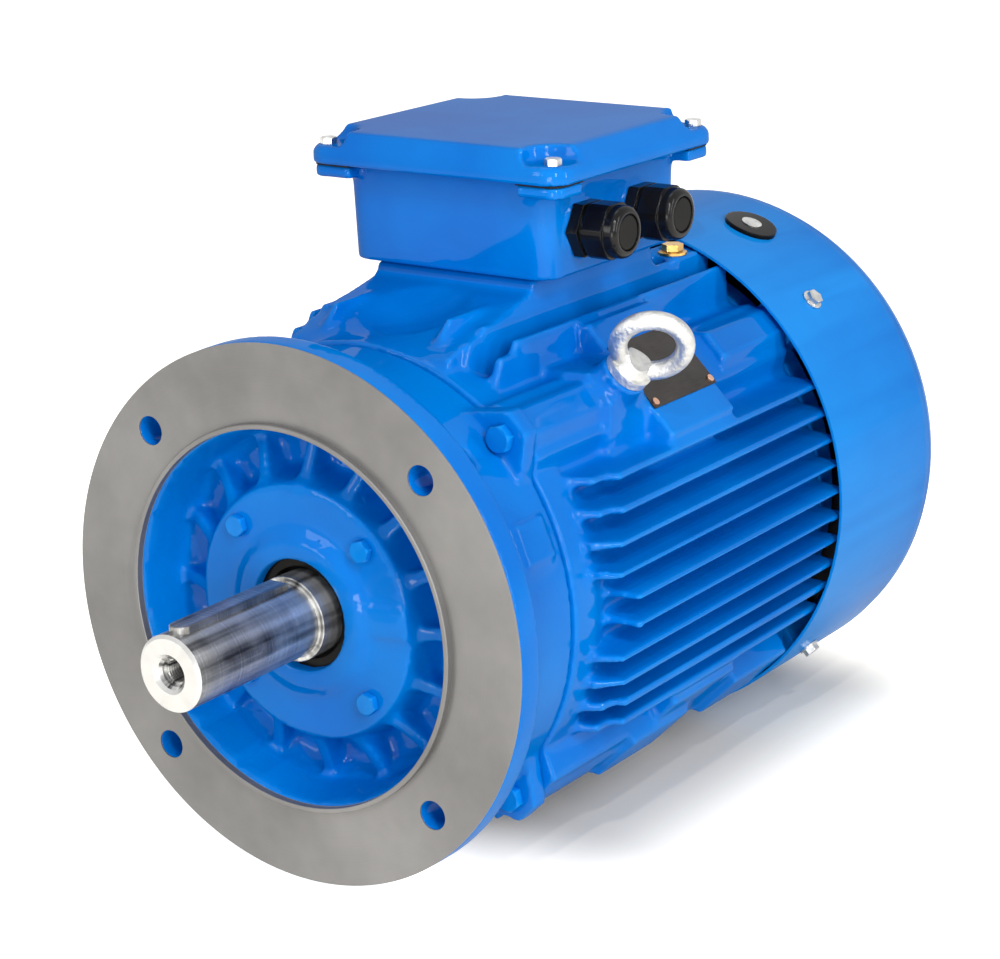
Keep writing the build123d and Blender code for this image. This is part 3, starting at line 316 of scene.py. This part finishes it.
def turned_steel(name, rough):
    """Turned steel with fine marks round the axis, painted reflections as soft dark and light bands along it,
    and a painted highlight that makes the end face bright.
    """
    s = material_shader(name)
    x, y, z = s.split()
    marks = s.noise(1.0, 3.0, 0.8, s.combine(s.times(x, 3000.0)))
    angle = s.math("ARCTAN2", z, y)
    around = s.combine(s.times(s.math("COSINE", angle), 2.6), s.times(s.math("SINE", angle), 2.6),
                       s.times(x, 3.0))
    # Painted reflection: dark and light bands that run along the shaft and change round it
    reflection_band = s.noise(1.0, 2.0, 0.5, around)
    cloud = s.noise(scale=60.0)
    colour = s.mix(s.range(s.blend(reflection_band, 0.8, cloud), 0.38, 0.62), STEEL_DARK, STEEL_LIGHT)
    # Painted highlight: the end face takes the light steel colour
    end = s.math("GREATER_THAN", x, SHAFT_END_X * MM)
    colour = s.mix(s.times(end, s.range(cloud, 0.2, 0.8, 0.85, 1.0)), colour, STEEL_LIGHT)
    normal = s.bump(marks, 0.06, 0.6, s.bevel(0.4))
    roughness = s.range(marks, 0.3, 0.7, rough, rough + 0.1)
    return s.principled(Base_Color=colour, Metallic=0.72, Roughness=roughness, Normal=normal,
                        Anisotropic=0.6, Tangent=round_x(s))


def zinc(name, tone, rough, grain, depth):
    """Zinc-plated or galvanised steel, slightly mottled."""
    s = material_shader(name)
    cells = s.noise(grain, roughness=0.6)
    cloud = s.noise(grain / 4)
    colour = s.mix(s.range(cloud, 0.35, 0.65), (tone, tone, tone * 0.97, 1),
                   (tone * 0.66, tone * 0.66, tone * 0.66, 1))
    normal = s.bump(cells, depth, 0.5, s.bevel(0.5))
    roughness = s.range(cloud, 0.3, 0.7, rough, rough + 0.18)
    return s.principled(Base_Color=colour, Metallic=1.0, Roughness=roughness, Normal=normal)


def plain_metal(name, colour, rough):
    """Solid metal with a faint uneven tone."""
    s = material_shader(name)
    cloud = s.noise(scale=180.0)
    dark = tuple(c * 0.75 for c in colour[:3]) + (1,)
    tint = s.mix(s.range(cloud, 0.3, 0.7), colour, dark)
    normal = s.bump(cloud, 0.1, 0.4, s.bevel(0.3))
    roughness = s.range(cloud, 0.3, 0.7, rough, rough + 0.12)
    return s.principled(Base_Color=tint, Metallic=1.0, Roughness=roughness, Normal=normal)


def laminated(name, pitch=1.0):
    """Stacked sheets seen on edge, one wave for each pair."""
    s = material_shader(name)
    x = s.split()["X"]
    sheets = s.math("SINE", s.times(x, 2 * math.pi / (pitch * MM)))
    tone = s.mix(s.range(sheets, -1.0, 1.0), SHEET_DARK, SHEET_LIGHT)
    rough = s.range(s.noise(scale=90.0, detail=2.0), 0.3, 0.7, 0.4, 0.6)
    return s.principled(Base_Color=tone, Metallic=0.9, Roughness=rough, Normal=s.bump(sheets, 0.1, 0.4))


def wound_copper(name):
    """Varnished wire bundles bound with cord."""
    s = material_shader(name)
    x, y, z = s.split()
    angle = s.math("ARCTAN2", z, y)
    strands = s.math("SINE", s.math("ADD", s.times(angle, 220.0), s.times(x, 900.0)))
    cords = s.math("SINE", s.times(angle, 36.0))
    copper = s.mix(s.range(strands, -1.0, 1.0), COPPER_DARK, COPPER_LIGHT)
    colour = s.mix(s.range(cords, 0.86, 0.94), copper, BINDING)
    rough = s.range(s.noise(scale=80.0, detail=2.0), 0.3, 0.7, 0.25, 0.4)
    return s.principled(Base_Color=colour, Metallic=0.35, Roughness=rough,
                        Normal=s.bump(strands, 0.6, 0.6), Coat_Weight=0.4)


def moulding(name, colour, rough, grain=300.0, depth=0.2, radius=0.6, shine=0.12):
    """Plastic or rubber moulding."""
    s = material_shader(name)
    fine = s.noise(grain, roughness=0.6)
    wide = s.noise(grain / 12, detail=2.0)
    light = tuple(c * 1.35 + 0.004 for c in colour[:3]) + (1,)
    tint = s.mix(s.range(wide, 0.3, 0.7), colour, light)
    normal = s.bump(fine, depth, 0.35, s.bevel(radius))
    roughness = s.range(wide, 0.3, 0.7, rough, rough + 0.08)
    return s.principled(Base_Color=tint, Roughness=roughness, Normal=normal, Specular_IOR_Level=shine)


def brushed_plate(name):
    """Dark plate brushed along its length."""
    s = material_shader(name)
    x, y, z = s.split()
    across = s.math("SUBTRACT", z, y)
    strokes = s.noise(1.0, 4.0, 0.75, s.combine(s.times(x, 60.0), s.times(across, 3200.0)))
    cloud = s.noise(scale=40.0)
    colour = s.mix(s.range(s.blend(strokes, 0.7, cloud), 0.35, 0.65), PLATE_DARK, PLATE_LIGHT)
    normal = s.bump(strokes, 0.08, 0.6, s.bevel(0.3))
    rough = s.range(strokes, 0.3, 0.7, 0.3, 0.45)
    return s.principled(Base_Color=colour, Metallic=0.9, Roughness=rough, Normal=normal, Anisotropic=0.6)


MATERIALS = {
    "enamel": enamel("enamel_casting", radius=1.6),
    "enamel_sheet": enamel("enamel_sheet", radius=1.0),
    "enamel_bolt": enamel("enamel_bolt", radius=1.2),
    "faced": faced_iron("faced_iron"),
    "shaft": turned_steel("turned_shaft", rough=0.2),
    "zinc": zinc("zinc_small", tone=0.72, rough=0.22, grain=700.0, depth=0.08),
    "eye": zinc("galvanised_eye", tone=0.70, rough=0.34, grain=300.0, depth=1.6),
    "ground": plain_metal("ground_steel", (0.6, 0.6, 0.62, 1), rough=0.14),
    "brass": plain_metal("brass", (0.78, 0.48, 0.15, 1), rough=0.24),
    "copper_rivet": plain_metal("copper_rivet", (0.80, 0.46, 0.32, 1), rough=0.28),
    "alloy": plain_metal("cast_alloy", (0.55, 0.56, 0.58, 1), rough=0.38),
    "iron": plain_metal("bare_iron", (0.16, 0.16, 0.17, 1), rough=0.5),
    "sheets": laminated("laminated_core"),
    "winding": wound_copper("winding_wire"),
    "nylon": moulding("black_nylon", (0.003, 0.003, 0.0035, 1), rough=0.1, grain=200.0, depth=0.1,
                      radius=1.2, shine=0.2),
    "rubber": moulding("black_rubber", (0.002, 0.002, 0.002, 1), rough=0.14, grain=400.0, depth=0.1,
                       radius=1.6, shine=0.08),
    "gasket": moulding("gasket", (0.01, 0.012, 0.016, 1), rough=0.55),
    "fan": moulding("fan_moulding", (0.03, 0.03, 0.032, 1), rough=0.4),
    "block": moulding("block_moulding", (0.05, 0.03, 0.022, 1), rough=0.38),
    "sheath": moulding("lead_sheath", (0.42, 0.03, 0.02, 1), rough=0.45),
    "plate": brushed_plate("dark_plate"),
}

# Nodes by their material
WEARERS = {
    "enamel": ("frame_housing", "flange_endshield", "rear_endshield", "terminal_box_base",
               "terminal_box_lid"),
    "enamel_sheet": ("fan_cowl",),
    "enamel_bolt": ("endshield_bolts", "front_cap_bolts"),
    "shaft": ("shaft", "shaft_key"),
    "zinc": ("rear_endshield_bolts", "rear_cap_bolts", "cowl_screws", "cowl_plug_button", "lid_screws",
             "box_screws", "terminal_block_screws"),
    "eye": ("eyebolt",),
    "ground": ("front_bearing_outer", "rear_bearing_outer", "front_bearing_inner", "rear_bearing_inner",
               "front_bearing_balls", "rear_bearing_balls", "wave_spring_washer", "fan_key",
               "fan_circlip"),
    "brass": ("terminal_studs", "terminal_nuts", "terminal_links", "box_earth_screw",
              "frame_earth_screw", "front_bearing_cage", "rear_bearing_cage"),
    "copper_rivet": ("nameplate_rivets",),
    "alloy": ("rotor_cage",),
    "iron": ("front_bearing_cap", "rear_bearing_cap"),
    "sheets": ("stator_core", "rotor_core"),
    "winding": ("stator_windings",),
    "nylon": ("gland_bodies", "gland_nuts", "gland_locknuts"),
    "rubber": ("front_shaft_seal", "rear_shaft_seal", "cowl_plug", "gland_seals", "gland_blanks"),
    "gasket": ("box_gasket", "lid_gasket"),
    "fan": ("fan",),
    "block": ("terminal_block",),
    "sheath": ("winding_leads",),
    "plate": ("nameplate",),
}


def dress_nodes():
    """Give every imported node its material."""
    for finish, names in WEARERS.items():
        for name in names:
            obj = frame["nodes"][name]
            if not obj.material_slots:
                obj.data.materials.append(MATERIALS[finish])
            for slot in obj.material_slots:
                slot.material = MATERIALS[finish]


def new_mesh(name, vertices, faces, material, smooth=True):
    """Mesh piece from points in metres."""
    mesh = bpy.data.meshes.new(name)
    mesh.from_pydata(vertices, [], faces)
    mesh.update()
    mesh.polygons.foreach_set("use_smooth", [smooth] * len(mesh.polygons))
    obj = bpy.data.objects.new(name, mesh)
    bpy.context.scene.collection.objects.link(obj)
    obj.data.materials.append(material)
    return obj


def on_circle(radius, step, steps):
    """Point on a circle after some of its steps, in metres."""
    angle = 2 * math.pi * step / steps
    return MM * radius * math.cos(angle), MM * radius * math.sin(angle)


def cad_triangles(obj):
    """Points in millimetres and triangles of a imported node."""
    mesh = obj.data
    mesh.calc_loop_triangles()
    points = numpy.empty(3 * len(mesh.vertices), dtype=numpy.float32)
    mesh.vertices.foreach_get("co", points)
    corners = numpy.empty(3 * len(mesh.loop_triangles), dtype=numpy.int32)
    mesh.loop_triangles.foreach_get("vertices", corners)
    turn = numpy.array(obj.matrix_world, dtype=numpy.float32)
    points = points.reshape(-1, 3) @ turn[:3, :3].T + turn[:3, 3]
    return numpy.ascontiguousarray(points / MM), corners.reshape(-1, 3).astype(numpy.uint32)


def offset_surface(points, triangles, quads, voxel, distance, thinning):
    """Surface moved outwards by a distance, through its distance field."""
    margin = 3.0
    band = abs(distance) / voxel + margin
    grid = openvdb.FloatGrid.createLevelSetFromPolygons(
        points, triangles=triangles, quads=quads, transform=openvdb.createLinearTransform(voxelSize=voxel),
        exBandWidth=band if distance > 0 else margin, inBandWidth=band if distance < 0 else margin)
    return grid.convertToPolygons(isovalue=distance, adaptivity=thinning)


def cast_copy(node, voxel, fill, roll, thinning):
    """Casting of a node with filled corners and rolled edges, in the node's place."""
    points, triangles = cad_triangles(frame["nodes"][node])
    quads = None
    for distance, thin in ((fill, STEP_THINNING), (-fill - roll, STEP_THINNING), (roll, thinning)):
        points, triangles, quads = offset_surface(points, triangles, quads, voxel, distance, thin)
    points[:, 0] = numpy.minimum(points[:, 0], MATING_X)
    faces = quads[:, ::-1].tolist() + triangles[:, ::-1].tolist()
    piece = new_mesh(node + "_cast", (points.astype(float) * MM).tolist(), faces, MATERIALS["enamel"])
    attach(piece, "motor_frame")
    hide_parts(node)


def spigot_ring():
    """Turned ring that locates the flange, about the shaft axis."""
    count = len(SPIGOT_PROFILE)
    vertices = [(MM * x, *on_circle(radius, k, RING_STEPS))
                for k in range(RING_STEPS) for x, radius in SPIGOT_PROFILE]
    faces = []
    for k in range(RING_STEPS):
        for j in range(count):
            a, b = k * count + j, k * count + (j + 1) % count
            c, d = (b + count) % len(vertices), (a + count) % len(vertices)
            faces.append((d, c, b, a))
    return new_mesh("spigot_ring", vertices, faces, MATERIALS["faced"], smooth=False)


def add_circle(curve, radius, steps, y=0.0, z=0.0):
    """Closed outline in a flat curve whose axes are z and y."""
    spline = curve.splines.new("POLY")
    spline.points.add(steps - 1)
    spline.use_cyclic_u = True
    for k, point in enumerate(spline.points):
        across, up = on_circle(radius, k, steps)
        point.co = (MM * z + up, MM * y + across, 0.0, 1.0)


def machined_face():
    """Turned mating face of the flange with its four holes."""
    curve = bpy.data.curves.new("face_outline", "CURVE")
    curve.dimensions = "2D"
    curve.fill_mode = "BOTH"
    curve.extrude = FACE_HALF_T * MM
    curve.bevel_depth = FACE_CHAMFER * MM
    add_circle(curve, FACE_OUTER_R, FACE_STEPS)
    add_circle(curve, FACE_INNER_R, FACE_STEPS)
    for corner in FACE_HOLE_ANGLES:
        turn = math.radians(corner)
        add_circle(curve, FACE_HOLE_R, HOLE_STEPS, FACE_HOLE_CIRCLE_R * math.cos(turn),
                   FACE_HOLE_CIRCLE_R * math.sin(turn))
    outline = bpy.data.objects.new("face_outline", curve)
    bpy.context.scene.collection.objects.link(outline)
    mesh = bpy.data.meshes.new_from_object(outline)
    bpy.data.objects.remove(outline)
    for vertex in mesh.vertices:
        up, across, out = vertex.co
        vertex.co = (out + FACE_MIDDLE_X * MM, across, -up)
    mesh.materials.clear()
    mesh.materials.append(MATERIALS["faced"])
    face = bpy.data.objects.new("machined_face", mesh)
    bpy.context.scene.collection.objects.link(face)
    return face


def centre_thread():
    """Screw thread inside the shaft's centre hole."""
    profile = ((0.0, THREAD_ROOT_R), (THREAD_CREST_START, THREAD_CREST_R), (THREAD_CREST_END, THREAD_CREST_R),
               (1.0, THREAD_ROOT_R))
    rows = THREAD_STEPS * int((THREAD_X1 - THREAD_X0) / THREAD_PITCH)
    vertices = [(MM * (THREAD_X0 + THREAD_PITCH * (row / THREAD_STEPS + part)),
                 *on_circle(radius, row, THREAD_STEPS))
                for row in range(rows) for part, radius in profile]
    count = len(profile)
    faces = [(a, a + 1, a + count + 1, a + count)
             for row in range(rows - 1) for a in range(count * row, count * row + count - 1)]
    thread = new_mesh("centre_thread", vertices, faces, MATERIALS["shaft"])
    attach(thread, "rotor")


def turned_face():
    """Bare turned iron on the flange."""
    for piece in (machined_face(), spigot_ring()):
        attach(piece, "motor_frame")


def beside(s, value, middle, half):
    """Distance past either end of a stretch."""
    past = s.math("SUBTRACT", s.math("ABSOLUTE", s.math("SUBTRACT", value, middle)), half)
    return s.math("MAXIMUM", past, 0.0)


def floor():
    """Pale seamless floor that fades into white away from the object, with its glow for the eye dimmed in a
    box beside the object as a painted shadow over the soft real shadow.
    """
    s = material_shader("studio_floor")
    x, y, _ = s.split()
    # Painted shadow: the glow that whitens the floor for the eye is dimmed inside a box beside the object
    away = s.length(beside(s, x, *PAINTED_SHADOW_X), beside(s, y, *PAINTED_SHADOW_Y))
    glow_outside_painted_shadow = s.range(away, 0.0, PAINTED_SHADOW_FADE, PAINTED_SHADOW_GLOW, 1.0)
    glow_outside_painted_shadow.node.interpolation_type = "SMOOTHSTEP"
    diffuse = s.fill(s.add("ShaderNodeBsdfDiffuse"), Color=FLOOR_COLOUR)
    glow = s.fill(s.add("ShaderNodeEmission"), Color=WHITE, Strength=s.times(s.seen_directly(), glow_outside_painted_shadow))
    both = s.add("ShaderNodeAddShader")
    for socket, part in zip(both.inputs, (diffuse, glow)):
        s.put(socket, part)
    level = CAD_BOX[0][2] - FLOOR_DROP
    low, high = -FLOOR_HALF, FLOOR_HALF
    corners = [(low, low, level), (high, low, level), (high, high, level), (low, high, level)]
    plane = new_mesh("studio_floor", corners, [(0, 1, 2, 3)], s.finish(both.outputs[0]))


def world():
    """White surround for the eye, soft fill for the object."""
    s = Shader(bpy.data.worlds.new("studio"), "ShaderNodeOutputWorld")
    strength = s.range(s.seen_directly(), 0.0, 1.0, FILL_STRENGTH, 1.0)
    shade = s.fill(s.add("ShaderNodeBackground"), Color=WHITE, Strength=strength)
    bpy.context.scene.world = s.finish(shade)


def area_light(name, place, size, power):
    """Soft box aimed at the object."""
    lamp = bpy.data.lights.new(name, "AREA")
    lamp.shape = "RECTANGLE"
    lamp.size, lamp.size_y = size
    lamp.energy = power
    obj = bpy.data.objects.new(name, lamp)
    obj.location = place
    aim = Vector(LIGHT_TARGET) - Vector(place)
    obj.rotation_euler = aim.to_track_quat("-Z", "Y").to_euler()
    bpy.context.scene.collection.objects.link(obj)


def camera():
    """Camera at the photograph's place."""
    data = bpy.data.cameras.new("camera")
    data.sensor_fit = "HORIZONTAL"
    data.sensor_width = CAMERA_SENSOR
    data.lens = CAMERA_LENS
    data.clip_start = CAMERA_NEAR
    data.clip_end = CAMERA_FAR
    obj = bpy.data.objects.new("camera", data)
    obj.location = CAMERA_PLACE
    obj.rotation_euler = CAMERA_TURN
    bpy.context.scene.collection.objects.link(obj)
    bpy.context.scene.camera = obj


dress_nodes()
for casting in CASTINGS:
    cast_copy(*casting)
turned_face()
centre_thread()
floor()
world()
for light in LIGHTS:
    area_light(*light)
camera()
bpy.context.scene.view_settings.view_transform = "Standard"
